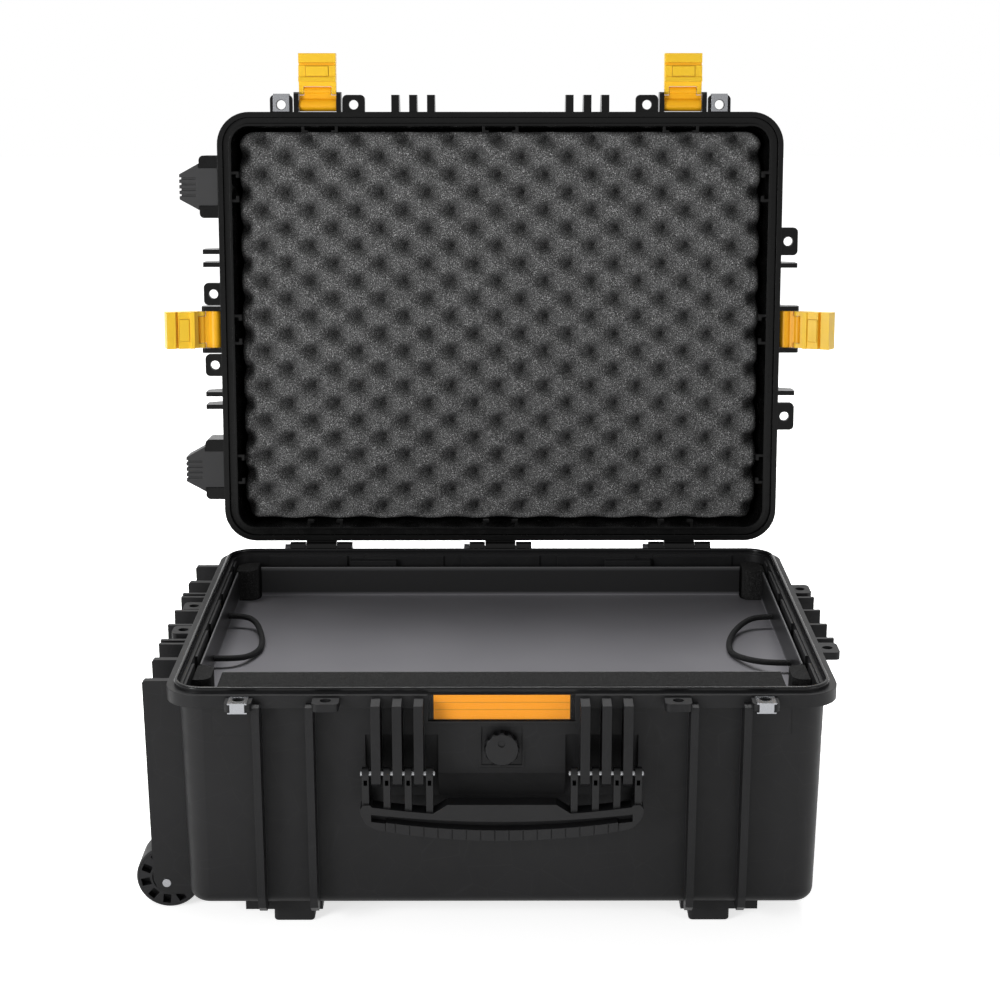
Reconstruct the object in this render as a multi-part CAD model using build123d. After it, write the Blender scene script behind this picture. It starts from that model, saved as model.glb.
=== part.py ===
from build123d import *
import os
from math import ceil, cos, radians, sin, tan

# Rolling tool case with a hinged lid, shown open. Millimetres, X left to right, Y front to back, Z up.
# The base's middle is at X 0, Y 0 while it is modelled, and the whole case is moved to its own frame at the end.

# Overall sizes
rim_width = 612.0       # outside of the rim, left to right
rim_depth = 470.0       # outside of the rim, front to back
rim_corner = 35.0       # corner radius of the rim, seen from above
rim_height = 235.0      # floor to the plane where base and lid meet
lid_depth = 66.0        # that plane to the lid's top
lid_open = 94.87        # degrees from closed to the hinge's stop
wall = 4.0              # moulded wall
floor_gap = 23.0        # floor to the underside of the base

# Rim, tongue and groove
flange_height = 12.3    # rim flange of the base and of the lid
flange_overhang = 11.0  # rim edge to the wall under it
draft = 4.0             # how much the walls draw in from rim to bottom
edge_round = 12.0       # bottom edge of the base
lid_round = 14.0        # top edge of the lid
lid_gap = 0.8           # between the two flanges when closed
tongue_height = 5.2
tongue_width = 4.4
tongue_inset = 6.8      # rim edge to the tongue
groove_depth = 9.4
groove_play = 1.2       # groove wider than the tongue, each side
seal_height = 3.6

# Clearances
running = 0.05          # pins and axles in their bores
seat = 0.3              # loose pieces in their seats
side_play = 0.5         # latches and knuckles, each side

# Ribs
rib_reach = 18.0        # lugs and ribs beyond the rim edge
long_rib_width = 7.0
long_rib_reach = 11.0   # long front ribs beyond the rim edge
side_rib_width = 5.0
side_rib_pitch = 14.0
side_rib_place = 78.0   # middle of a rib pair from the middle of a short side
hand_rib_width = 8.4
ledge_bar = 79.0        # bars of the notched ledge inside the rim's short sides
ledge_pitch = 100.0
ledge_shift = 18.0      # middle bar behind the middle of the side
front_ledge_bar = 86.0
front_ledge_pitch = 106.0

# Hinge
hinge_set_back = 8.6    # hinge pin behind the rim edge
knuckle_radius = 7.4
hinge_width = 69.0
hinge_spacing = 199.0
hinge_pin_radius = 3.0

# Latches
latch_spacing = 197.0   # front latches from the middle
latch_width = 40.0
latch_pin_out = 7.5     # link pin beyond the rim edge
latch_pin_up = 11.0     # link pin above the lid's rim plane
latch_pin_radius = 2.2
latch_throw = 15.0      # link pin to lever pin
lever_length = 39.5     # lever pin to the lever's tip
lever_thick = 11.5
post_width = 5.0
post_reach = 21.0
button_width = 24.0
button_height = 10.4
button_travel = 2.5

# Padlock lugs
lug_width = 24.2
lug_thick = 7.4
lug_hole_radius = 5.0
lug_hole_out = 7.5      # hole beyond the rim edge
lug_place = 39.0        # hole from the latch's middle
right_lug_place = 96.0  # on the right side the holes stand further out
right_lug_width = 30.0
lock_plate = 1.2
lock_tab = 13.0         # width of the clip in front of the lug

# Carry handle
finger_pitch = 19.25
finger_width = 6.2
inner_finger = 65.1     # innermost finger from the middle
handle_pin_radius = 2.5
handle_pin_out = 12.0   # beyond the rim edge
handle_pin_drop = 70.0  # below the rim plane
hand_rib_drop = 82.0    # lower end of the ribs below the rim plane
handle_thick = 17.0
handle_half = 128.0
grip_half = 105.0
grip_pitch = 12.8
handle_drop = 131.5     # lowest point of the grip below the rim plane
grip_crown = 9.0        # the grip is lower in the middle than at its ends

# Wheels and wheel housings
wheel_radius = 30.5
wheel_width = 42.0
wheel_place = 155.0     # middle of a wheel from the middle of the left side
wheel_out = 9.7         # axle beyond the rim edge
wheel_clear = 0.8       # wheel above the floor
axle_radius = 4.0
wheel_side_play = 4.5   # wheel to its cheeks
cheek_width = 8.0       # moulded cheeks each side of a wheel
cheek_reach = 25.0      # beyond the rim edge, at the top
cheek_lean = 3.0        # less reach at the bottom
tyre_thick = 2.5
pocket_count = 10
pocket_turn = 24.0      # degrees of the first pocket
pocket_ring = 22.0      # radius of the ring of pockets

# Feet
foot_height = 13.0
foot_width = 38.0
foot_depth = 30.0
foot_place = 194.5      # from the middle, left to right
mount_width = 72.0      # moulded pad above the foot, reaching further out
foot_set_back = 30.0    # foot's front face behind the rim edge

# Lid stand feet
stand_width = 67.0
stand_insert = 41.0
stand_reach = 42.0
stand_depth = 38.0

# Telescopic handle
tube_radius = 7.0
tube_spacing = 54.0     # tubes from the middle
tube_length = 540.0
trolley_travel = 390.0
grip_bar_half = 69.0
grip_bar_thick = 16.0
grip_bar_height = 30.0

# Label and valve
card_width = 123.0
card_height = 23.0
valve_drop = 53.0
knob_radius = 16.0
knob_height = 9.0

# Tray and foam
tray_side_gap = 20.0    # rim edge to the tray
tray_front_gap = 87.0
tray_back_gap = 36.0
tray_rim_drop = 8.0     # wall tops below the rim plane
tray_height = 33.5
sheet = 1.5
tray_corner_x = 24.0
tray_corner_back = 21.0
tray_corner_front = 23.0
foam_drop = 8.0         # top of the base foam below the rim plane
front_post_in = 15.0    # inner face of the front foam posts from the tray's side
crate_pitch_x = 51.5
crate_pitch_y = 39.0
crate_depth = 15.0
crate_shift = -12.7     # the row of dips at the middle of the lid lies this far forward
lid_foam_drop = 18.0    # foam peaks inside the lid's rim plane

# Rope loops
rope_radius = 3.0

# Places worked out from the sizes above
rim_z = rim_height
flange_low = rim_z - flange_height
lid_z = rim_z + lid_gap
front = -rim_depth / 2
back = rim_depth / 2
left = -rim_width / 2
right = rim_width / 2
hinge_y = back + hinge_set_back
hinge_z = rim_z + lid_gap / 2
inner_inset = flange_overhang + wall
tray_width = rim_width - 2 * tray_side_gap
tray_front = tray_front_gap - rim_depth / 2
tray_back = rim_depth / 2 - tray_back_gap
frame_front = -front + handle_pin_out + handle_thick / 2
lid_tip = rim_depth + hinge_set_back
frame_back = hinge_y + (lid_depth + lid_gap / 2) * sin(radians(lid_open)) - lid_tip * cos(radians(lid_open))
frame_y = (frame_back - frame_front) / 2


def rounded_block(inset, low, high, width=rim_width, depth=rim_depth, corner=rim_corner):
    outline = RectangleRounded(width - 2 * inset, depth - 2 * inset, max(corner - inset, 1))
    return extrude(Pos(0, 0, low) * outline, amount=high - low)


def drafted_block(low, high, inset_low, inset_high):
    sections = []
    for z, inset in ((low, inset_low), (high, inset_high)):
        outline = RectangleRounded(rim_width - 2 * inset, rim_depth - 2 * inset, rim_corner - inset)
        sections.append(Pos(0, 0, z) * outline)
    return loft(sections, ruled=True)


def block(x, y, z):
    # Each argument is a low and a high value.
    size = [high - low for low, high in (x, y, z)]
    middle = [(high + low) / 2 for low, high in (x, y, z)]
    return Pos(*middle) * Box(*size)


def rod_x(radius, low, high, y, z):
    return Pos((low + high) / 2, y, z) * Rot(0, 90, 0) * Cylinder(radius, high - low)


def rod_y(radius, low, high, x, z):
    return Pos(x, (low + high) / 2, z) * Rot(90, 0, 0) * Cylinder(radius, high - low)


def rod_z(radius, low, high, x, y):
    return Pos(x, y, (low + high) / 2) * Cylinder(radius, high - low)


def slab_x(points, middle, thickness):
    # Points are Y and Z, and the slab stands across X.
    face = Plane.YZ.offset(middle) * make_face(Polyline(*points, close=True))
    return extrude(face, amount=thickness / 2, both=True)


def slab_y(points, middle, thickness):
    # Points are X and Z, and the slab stands across Y.
    face = Plane.XZ.offset(-middle) * make_face(Polyline(*points, close=True))
    return extrude(face, amount=thickness / 2, both=True)


def body_inset(z):
    # How far the base's outer wall lies inside the rim edge at height z.
    return flange_overhang + draft * (flange_low - z) / (flange_low - floor_gap)


# Places on the rim: X runs along the edge, -Y points away from the case, Z 0 is the rim plane.
def on_front(x, z):
    return Pos(x, front, z)


def on_left(y, z):
    return Pos(left, y, z) * Rot(0, 0, -90)


def on_right(y, z):
    return Pos(right, y, z) * Rot(0, 0, 90)


latch_sites = {
    "front_left": (on_front, -latch_spacing, 90.0),
    "front_right": (on_front, latch_spacing, 90.0),
    "left": (on_left, 0.0, 73.0),
    "right": (on_right, 0.0, 60.0),
}
open_lid = Pos(0, hinge_y, hinge_z) * Rot(-lid_open, 0, 0) * Pos(0, -hinge_y, -hinge_z)
latch_clear = latch_width / 2 + side_play
long_rib_place = latch_clear + long_rib_width / 2
flank_place = latch_clear + side_rib_width / 2


def lug(place, low, high, width=lug_width):
    # One padlock lug with its hole, on the rim edge.
    half = width / 2
    plate = block((place - half, place + half), (-rib_reach, 2), (low, high))
    outer = plate.edges().filter_by(Axis.Z).group_by(Axis.Y)[0]
    plate = fillet(outer, 5)
    return plate - rod_z(lug_hole_radius, low - 1, high + 1, place, -lug_hole_out)


def lock_clip(place, low, high):
    # Sheet steel clip that wraps a lug's nose, with its own hole.
    half = lug_width / 2 - 3.4
    nose = -rib_reach - lock_plate
    clip = block((place - half, place + half), (nose, -seat), (low - lock_plate, high + lock_plate))
    clip = clip - block((place - half - 1, place + half + 1), (-rib_reach, 2), (low, high))
    for side in (-1, 1):
        x = sorted((place + side * lock_tab / 2, place + side * (half + 1)))
        clip = clip - block(x, (nose - 1, 1 - rib_reach), (low, high))
    return clip - rod_z(lug_hole_radius + 0.6, low - 9, high + 9, place, -lug_hole_out)


def short_rib(place, width, low, high, reach=rib_reach):
    # A gusset from the wall out past the rim edge.
    far = min(low, high, key=abs)
    near = max(low, high, key=abs)
    points = [(2, far), (-reach, far), (-reach, far + 0.55 * (near - far)), (flange_overhang + 2, near)]
    points.append((flange_overhang + 2, far))
    return slab_x(points, place, width)


# Base
def long_front_rib(x):
    wall_top = front + body_inset(flange_low)
    low = floor_gap - 4
    wall_low = front + body_inset(floor_gap)
    top = rim_z - 5
    reach_low = wall_low - (flange_overhang + long_rib_reach) + 3
    points = [
        (wall_top + 2, top),
        (front - long_rib_reach, top - 3),
        (reach_low, floor_gap + 16),
        (reach_low + 5, floor_gap + 4),
        (reach_low + 16, low),
        (wall_low + 60, low),
        (wall_low + 62, floor_gap + 1),
        (wall_low + 20, floor_gap + 2),
    ]
    return slab_x(points, x, long_rib_width)


def hand_rib(x):
    low = rim_z - hand_rib_drop
    out = front - rib_reach
    wall_y = front + body_inset(low) + 2
    points = [(wall_y, rim_z - 1), (out, rim_z - 4), (out, low + 4), (out + 4, low), (wall_y, low)]
    return slab_x(points, x, hand_rib_width)


def wheel_cheek(y):
    # One flat cheek beside a wheel, from the rim to below the floor pan.
    top = rim_z - 2.5
    low = floor_gap - 3
    reach = left - cheek_reach
    points = [
        (left + inner_inset, top),
        (reach + 2, top),
        (reach, top - 2),
        (reach + cheek_lean, low + 14),
        (reach + cheek_lean + 4, low + 5),
        (reach + cheek_lean + 14, low),
        (left + inner_inset + 14, low),
    ]
    return slab_y(points, y, cheek_width)


def foot_mount(side, y):
    # Moulded pad under the floor that carries a rubber foot.
    inner = foot_place - foot_width / 2 - 8
    x = sorted((side * inner, side * (inner + mount_width)))
    return block(x, (y - foot_depth / 2 - 2, y + foot_depth / 2 + 2), (foot_height, floor_gap + 1))


def hinge_sites():
    return [-hinge_spacing, 0.0, hinge_spacing]


def knuckle(x_low, x_high, arm):
    # A barrel round the hinge pin, joined to its half of the case by an arm.
    barrel = rod_x(knuckle_radius, x_low, x_high, hinge_y, hinge_z)
    return barrel + block((x_low, x_high), *arm)


def base_knuckles():
    arm = ((back - flange_overhang - 1, hinge_y), (hinge_z - knuckle_radius, rim_z - 0.6))
    gusset = [(back - flange_overhang - 3, rim_z - 40), (back, hinge_z - knuckle_radius)]
    gusset += [(back - flange_overhang - 3, hinge_z - knuckle_radius)]
    found = []
    for x in hinge_sites():
        for side in (-1, 1):
            low, high = sorted((x + side * hinge_width / 2, x + side * hinge_width / 4))
            found.append(knuckle(low, high, arm))
            found.append(slab_x(gusset, (low + high) / 2, high - low))
    return found


def wheel_well(y, grow):
    return rod_y(wheel_radius + 3.5 + grow, y - well_half - grow, y + well_half + grow, wheel_x, wheel_z)


well_half = wheel_width / 2 + wheel_side_play
wheel_x = left - wheel_out
wheel_z = wheel_radius + wheel_clear
scoop_half = handle_half - 4
scoop_depth = 14.0
scoop_corner = 40.0
scoop_low = rim_z - handle_drop - 1.5
scoop_mid = rim_z - 80   # upper edge in the middle
scoop_high = rim_z - 42  # upper edge behind the fingers
scoop_side = inner_finger - 7


def scoop_part(x_low, x_high, high, grow):
    face = front + body_inset(rim_z - handle_drop)
    deep = face + scoop_depth + grow
    points = [
        (front - 5, high + grow),
        (face - 0.5, high + grow),
        (deep, scoop_low + 26),
        (deep, scoop_low + 14 - grow),
        (face - 1, scoop_low - grow),
        (front - 5, scoop_low - grow),
    ]
    part = slab_x(points, (x_low + x_high) / 2, x_high - x_low)
    deep_edge = part.edges().filter_by(Axis.X).group_by(Axis.Y)[-1].sort_by(Axis.Z)[0]
    return fillet(deep_edge, 5)


def hand_scoop(grow):
    # Hollow in the front wall behind the carry handle, deepest behind the grip.
    half = scoop_half + grow
    side = scoop_side - grow
    scoop = scoop_part(-half, half, scoop_mid, grow)
    scoop = scoop.fuse(scoop_part(side, half, scoop_high, grow), scoop_part(-half, -side, scoop_high, grow))
    height = 200.0
    outline = RectangleRounded(2 * half, height, scoop_corner + grow)
    outline = Plane.XZ.offset(-front - 60) * Pos(0, scoop_low - grow + height / 2) * outline
    return scoop & extrude(outline, amount=120)


def pull_pocket(grow):
    # Finger room in the right wall behind the telescopic handle's bar.
    reach = right - inner_inset - draft - 9 - grow
    pocket = block((reach, right), (-pull_half - grow, pull_half + grow), (0, pull_high + grow))
    return fillet(pocket.edges().filter_by(Axis.Y).group_by(Axis.X)[0].group_by(Axis.Z)[-1], 8)


pull_half = tube_spacing - tube_radius - 4
pull_high = floor_gap + grip_bar_height - 2
panel_half = 70.5
panel_low = rim_z - 27
recess_y = front + 4.5


def inner_ledges():
    # Notched ledge that runs round inside the rim.
    out = flange_overhang + 1
    reach = inner_inset + 2.5
    top = rim_z - 1.5
    low = top - 12
    found = []
    end = rim_depth / 2 - rim_corner
    for k in range(-2, 3):
        y = ledge_shift + k * ledge_pitch
        span = (max(y - ledge_bar / 2, -end), min(y + ledge_bar / 2, end))
        found.append(block((left + out, left + reach), span, (low, top)))
    sides = found + [mirror(piece, about=Plane.YZ) for piece in found]
    fronts = []
    for k in range(-2, 3):
        x = k * front_ledge_pitch
        span = (x - front_ledge_bar / 2, x + front_ledge_bar / 2)
        fronts.append(block(span, (front + out, front + reach), (low, top)))
    fronts += [mirror(piece, about=Plane.XZ) for piece in fronts]
    for x in (-140.0, 140.0):
        fronts.append(block((x - 25, x + 25), (back - reach - 8, back - out), (low - 3, top - 3)))
    return sides + fronts


def make_base_shell():
    shell = drafted_block(floor_gap, flange_low, flange_overhang + draft, flange_overhang)
    shell = fillet(shell.faces().sort_by(Axis.Z)[0].edges(), edge_round)
    added = [rounded_block(0, flange_low, rim_z)]
    for x in (latch_spacing - long_rib_place, latch_spacing + long_rib_place):
        added += [long_front_rib(x), long_front_rib(-x)]
    for k in range(3):
        x = inner_finger + (k + 0.5) * finger_pitch
        added += [hand_rib(x), hand_rib(-x)]
    added.append(block((-panel_half, panel_half), (front + 0.8, front + 20), (panel_low, flange_low + 1)))
    for x in (-1, 1):
        pads = sorted((x * (latch_spacing + 28), x * (latch_spacing + 65)))
        added.append(block(pads, (front + flange_overhang - 1.4, front + 16), (flange_low - 29, flange_low + 1)))
    for y in (-wheel_place, wheel_place):
        for side in (-1, 1):
            added.append(wheel_cheek(y + side * (well_half + cheek_width / 2)))
    for side in (-1, 1):
        added += [foot_mount(side, -foot_y), foot_mount(side, foot_y)]
    for side in (-1, 1):
        added.append(on_front(side * latch_spacing, rim_z) * lug(-side * lug_place, -2 - lug_thick, -2))
        added.append(on_left(0, rim_z) * lug(side * lug_place, -2 - lug_thick, -2))
    for place in (-right_lug_place, right_lug_place):
        added.append(on_right(0, rim_z) * lug(place, -2 - lug_thick, -2, right_lug_width))
    for place in (-67.0, -flank_place, flank_place, 67.0):
        added.append(on_right(0, rim_z) * short_rib(place, side_rib_width, -2, -34))
    for place in (-82.0, -70.0, -flank_place, flank_place, 70.0, 82.0):
        added.append(on_left(0, rim_z) * short_rib(place, side_rib_width, -2, -150, cheek_reach))
    added += base_knuckles()
    shell = shell.fuse(*added)

    cavity = drafted_block(floor_gap + wall, rim_z + 1, inner_inset + draft, inner_inset - 0.2)
    cavity = fillet(cavity.faces().sort_by(Axis.Z)[0].edges(), edge_round - wall)
    shell = shell - cavity

    inside = drafted_block(floor_gap, flange_low, flange_overhang + draft + 1, flange_overhang + 1)
    inside = fillet(inside.faces().sort_by(Axis.Z)[0].edges(), edge_round - 1)
    bumps = [hand_scoop(wall), pull_pocket(wall), wheel_well(-wheel_place, wall), wheel_well(wheel_place, wall)]
    shell = shell.fuse(*[bump & inside for bump in bumps])
    shell = shell.fuse(*inner_ledges())
    hollows = [hand_scoop(0), pull_pocket(0), wheel_well(-wheel_place, 0), wheel_well(wheel_place, 0)]
    ribs = []
    for k in range(3):
        x = inner_finger + (k + 0.5) * finger_pitch
        ribs += [hand_rib(x), hand_rib(-x)]
    pad = block((-valve_pad_half, valve_pad_half), (valve_wall - 1.2, valve_wall + valve_pad_thick),
                (valve_z - valve_pad_half, valve_z + valve_pad_half))
    shell = shell.cut(*hollows).fuse(*ribs, pad)

    tongue = rounded_block(tongue_inset, rim_z - 1, rim_z + tongue_height)
    tongue = tongue - rounded_block(tongue_inset + tongue_width, rim_z - 2, rim_z + tongue_height + 1)
    tongue = fillet(tongue.faces().sort_by(Axis.Z)[-1].edges(), tongue_width / 2 - 0.4)
    shell = shell + tongue

    cuts = [block((-card_width / 2 - 5, card_width / 2 + 5), (front - 1, recess_y), (panel_low + 2, rim_z + 1))]
    cuts.append(rod_y(valve_stem + running, front, front + 30, 0, valve_z))
    cuts.append(block((-18.5, 18.5), (front, valve_wall), (valve_z - 18.5, valve_z + 18.5)))
    for y in (-wheel_place, wheel_place):
        cuts.append(rod_y(axle_radius + running, y - axle_half, y + axle_half, wheel_x, wheel_z))
    for x in hinge_sites():
        cuts.append(rod_x(hinge_pin_radius + running, x - hinge_width, x + hinge_width, hinge_y, hinge_z))
        cuts.append(rod_x(knuckle_radius + 0.8, x - hinge_width / 4 + 0.01, x + hinge_width / 4 - 0.01,
                          hinge_y, hinge_z))
    for side in (-1, 1):
        low, high = sorted((side * pin_inner, side * pin_outer))
        cuts.append(rod_x(handle_pin_radius + running, low, high, handle_pin_y, handle_pin_z))
    return shell.cut(*cuts)


valve_z = rim_z - valve_drop
valve_pad_half = 21.0
valve_pad_thick = 9.0
valve_stem = 8.0
valve_wall = front + body_inset(valve_z) + 1.2
foot_y = rim_depth / 2 - foot_set_back - foot_depth / 2
axle_half = well_half + cheek_width + 0.8
handle_pin_y = front - handle_pin_out
handle_pin_z = rim_z - handle_pin_drop
pin_inner = inner_finger - finger_width / 2 - 1.6
pin_outer = inner_finger + 3 * finger_pitch + finger_width / 2 + 1.6


def make_padlock_lugs():
    # The two outer front lugs, which carry the steel clips, stand on the face of the rim.
    lugs = []
    for side in (-1, 1):
        plate = on_front(side * latch_spacing, rim_z) * lug(side * lug_place, -2 - lug_thick, -2)
        plate = plate & block((left, right), (front - 40, front), (flange_low, rim_z))
        lugs.append(plate - long_front_rib(side * (latch_spacing + long_rib_place)))
    return lugs


def make_lock_plates_base():
    clips = [on_front(-latch_spacing, rim_z) * lock_clip(-lug_place, -2 - lug_thick, -2)]
    clips.append(on_front(latch_spacing, rim_z) * lock_clip(lug_place, -2 - lug_thick, -2))
    return clips


def make_hinge_pins():
    pins = []
    for x in hinge_sites():
        pin = rod_x(hinge_pin_radius, x - hinge_width / 2 - 1, x + hinge_width / 2, hinge_y, hinge_z)
        head = rod_x(hinge_pin_radius + 1.8, x - hinge_width / 2 - 6, x - hinge_width / 2 - 0.2, hinge_y, hinge_z)
        pins.append(pin + head)
    return pins


def make_rubber_feet():
    feet = []
    foot = extrude(RectangleRounded(foot_width, foot_depth, 4), amount=foot_height)
    foot = fillet(foot.faces().sort_by(Axis.Z)[0].edges(), 2.5)
    for x in (-foot_place, foot_place):
        feet += [Pos(x, -foot_y, 0) * foot, Pos(x, foot_y, 0) * foot]
    return feet


def make_label_card():
    half = card_width / 2
    return block((-half, half), (recess_y - 0.9, recess_y - 0.3), (panel_low + 3, panel_low + 3 + card_height))


def make_label_cover():
    half = card_width / 2 + 4
    cover = block((-half, half), (recess_y - 2.2, recess_y), (panel_low + 2.3, panel_low + 4 + card_height))
    inside = block((-half + 2.5, half - 2.5), (recess_y - 1.2, recess_y + 1),
                   (panel_low + 2.7, panel_low + 3.4 + card_height))
    return cover - inside


# Pressure valve
def make_valve_body():
    inner = valve_wall + valve_pad_thick
    nut = extrude(Plane.XZ.offset(-inner) * Pos(0, valve_z) * RegularPolygon(13, 6), amount=-5)
    stem = rod_y(valve_stem, valve_wall - 2.6, inner + 8, 0, valve_z)
    collar = rod_y(13, valve_wall - 2.6, valve_wall - 0.2, 0, valve_z)
    return nut + stem + collar


def make_valve_knob():
    low = valve_wall - 2.9 - knob_height
    disc = rod_y(knob_radius, low, low + knob_height, 0, valve_z)
    disc = chamfer(disc.faces().sort_by(Axis.Y)[0].edges(), 1.4)
    count = 12
    notches = []
    for k in range(count):
        turn = radians(360 * (k + 0.5) / count)
        reach = knob_radius + 2.2
        notches.append(rod_y(3.6, low - 1, low + knob_height + 1, reach * cos(turn), valve_z + reach * sin(turn)))
    dimple = rod_y(3.4, low - 1, low + 1.6, 0, valve_z + 6)
    return disc.cut(*notches, dimple)


# Carry handle
def crown(z, half, rise):
    # An arc across the handle, lowest in the middle.
    return ThreePointArc((-half, z + rise), (0, z), (half, z + rise))


def band(top, low, half, rise_top, rise_low, y_front, y_back):
    # A bar between two crowned curves.
    upper = crown(top, half, rise_top)
    lower = crown(low, half, rise_low)
    edges = [upper, lower, Line(upper @ 0, lower @ 0), Line(upper @ 1, lower @ 1)]
    face = Plane.XZ.offset(-y_back) * make_face(edges)
    return extrude(face, amount=y_back - y_front)


handle_front = handle_pin_y - handle_thick / 2
handle_rear = handle_pin_y + handle_thick / 2
grip_top = rim_z - 121.0
grip_low = rim_z - handle_drop
slot_top = rim_z - 113.5
web_top = rim_z - 97.0
fork_low = rim_z - 107.9
fork_rise = 10.0
arm_width = 10.0
arm_top = rim_z - 97.5


def fork_height(x):
    # Upper edge of the crowned bar that the fingers stand on.
    return fork_low + fork_rise * (x / handle_half) ** 2


def handle_outline():
    corner = 19.0
    low_end = grip_low + grip_crown
    inner = inner_finger - finger_width / 2
    arm = handle_half - arm_width
    edges = [crown(grip_low, grip_half, grip_crown), Line((inner - 13, web_top), (13 - inner, web_top))]
    for side in (-1, 1):
        top = [(inner - 13, web_top), (inner, fork_height(inner))]
        rise = [(x, fork_height(x)) for x in (inner, (inner + arm) / 2, arm - 1)]
        end = [rise[-1], (arm + 1, arm_top), (handle_half - 3, arm_top), (handle_half, arm_top - 4),
               (handle_half, low_end + corner)]
        turn = [end[-1], (handle_half - 6.7, low_end + 0.3 * corner), (grip_half, low_end)]
        top, rise, end, turn = [[(side * x, z) for x, z in points] for points in (top, rise, end, turn)]
        edges += [Line(*top), ThreePointArc(*rise), *Polyline(*end).edges(), ThreePointArc(*turn)]
    return make_face(edges)


def make_handle_frame():
    face = Plane.XZ.offset(-handle_pin_y) * handle_outline()
    frame = extrude(face, amount=handle_thick / 2, both=True)
    slot_half = handle_half - arm_width
    frame = frame - band(slot_top, grip_top, slot_half, 6.9, 7.5, handle_front - 1, handle_front + 9)
    frame = frame - band(grip_top, grip_low - 9, grip_half, 7.5, grip_crown, handle_front - 3, handle_rear + 3)
    core_low = grip_low + 3
    frame = frame + band(grip_top - 2.8, core_low, grip_half + 3, 7.7, grip_crown + 0.2,
                         handle_front + 4, handle_rear - 4)
    fingers = []
    slots = []
    for k in range(4):
        x = inner_finger + k * finger_pitch
        eye = rod_x(6, x - finger_width / 2, x + finger_width / 2, handle_pin_y, handle_pin_z)
        stalk = block((x - finger_width / 2, x + finger_width / 2), (handle_pin_y - 6, handle_pin_y + 6),
                      (fork_height(x) - 3, handle_pin_z))
        fingers += [eye + stalk, mirror(eye + stalk, about=Plane.YZ)]
        slot = block((x - 1.6, x + 1.6), (handle_pin_y - 9, handle_pin_y + 9),
                     (handle_pin_z - 9.5, handle_pin_z - 4.5))
        slots += [slot, mirror(slot, about=Plane.YZ)]
    frame = frame.fuse(*fingers).cut(*slots)
    bores = []
    for side in (-1, 1):
        low, high = sorted((side * (pin_inner - 5), side * (pin_outer + 5)))
        bores.append(rod_x(handle_pin_radius + running, low, high, handle_pin_y, handle_pin_z))
    return frame.cut(*bores)


def make_handle_grip():
    half = grip_half - seat
    out = 1.4
    grip = band(grip_top - 0.2, grip_low, half, 7.5, grip_crown, handle_front - out, handle_rear + out)
    core = band(grip_top - 2.7, grip_low + 2.9, grip_half + 3, 7.7, grip_crown + 0.2,
                handle_front + 3.9, handle_rear - 3.9)
    grip = grip - core
    grooves = []
    count = int(half / grip_pitch)
    for k in range(-count, count):
        x = (k + 0.5) * grip_pitch
        face = (handle_front - out - 1, handle_front - out + 1)
        grooves.append(block((x - 0.5, x + 0.5), face, (grip_low - 2, grip_top + 9)))
    return grip.cut(*grooves)


def make_handle_pins():
    pins = []
    for side in (-1, 1):
        low, high = sorted((side * pin_inner, side * pin_outer))
        pins.append(rod_x(handle_pin_radius, low, high, handle_pin_y, handle_pin_z))
    return pins


# Wheels
def make_wheel_hub(y):
    half = wheel_width / 2
    hub = rod_y(wheel_radius - tyre_thick, y - half, y + half, wheel_x, wheel_z)
    dish = rod_y(pocket_ring - 6.5, half - 7, half + 1, 0, 0) - rod_y(9, half - 8, half + 2, 0, 0)
    dishes = [Pos(wheel_x, y, wheel_z) * part for part in (dish, mirror(dish, about=Plane.XZ))]
    pockets = []
    for k in range(pocket_count):
        turn = pocket_turn + 360 * k / pocket_count
        pocket = Pos(pocket_ring, 0, 0) * Box(8.8, wheel_width + 2, 7.4)
        pockets.append(Pos(wheel_x, y, wheel_z) * Rot(0, turn, 0) * pocket)
    bore = rod_y(axle_radius + running, y - half - 1, y + half + 1, wheel_x, wheel_z)
    return hub.cut(*dishes, bore), pockets


def make_wheel(y):
    half = wheel_width / 2
    hub, pockets = make_wheel_hub(y)
    shallow = []
    for pocket in pockets:
        shallow.append(pocket - block((wheel_x - 60, wheel_x + 60), (y - half + 9, y + half - 9), (-60, 120)))
    hub = hub.cut(*shallow)
    tyre = rod_y(wheel_radius, y - half + 0.5, y + half - 0.5, wheel_x, wheel_z)
    tyre = chamfer(tyre.edges().filter_by(GeomType.CIRCLE), 1.5)
    tyre = tyre - rod_y(wheel_radius - tyre_thick + running, y - half - 1, y + half + 1, wheel_x, wheel_z)
    return hub, tyre


def make_axles():
    return [rod_y(axle_radius, y - axle_half, y + axle_half, wheel_x, wheel_z) for y in (-wheel_place, wheel_place)]


# Telescopic handle under the base
tube_z = floor_gap - tube_radius - 2
bar_low_x = right - flange_overhang - draft + 3.4
tube_end = bar_low_x + grip_bar_thick - 3


def make_trolley_guides():
    guides = []
    for y in (-tube_spacing, tube_spacing):
        for high in (right - flange_overhang - draft - 10, right - flange_overhang - draft - 115):
            sides = (y - tube_radius - 4, y + tube_radius + 4)
            shoe = block((high - 30, high), sides, (tube_z - tube_radius - 2, floor_gap))
            guides.append(shoe - rod_x(tube_radius + running, high - 31, high + 1, y, tube_z))
    return guides


def make_trolley_tubes():
    tubes = []
    for y in (-tube_spacing, tube_spacing):
        tube = rod_x(tube_radius, tube_end - tube_length, tube_end, y, tube_z)
        tubes.append(tube - rod_x(tube_radius - 1.5, tube_end - tube_length - 1, tube_end - 20, y, tube_z))
    return tubes


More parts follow.
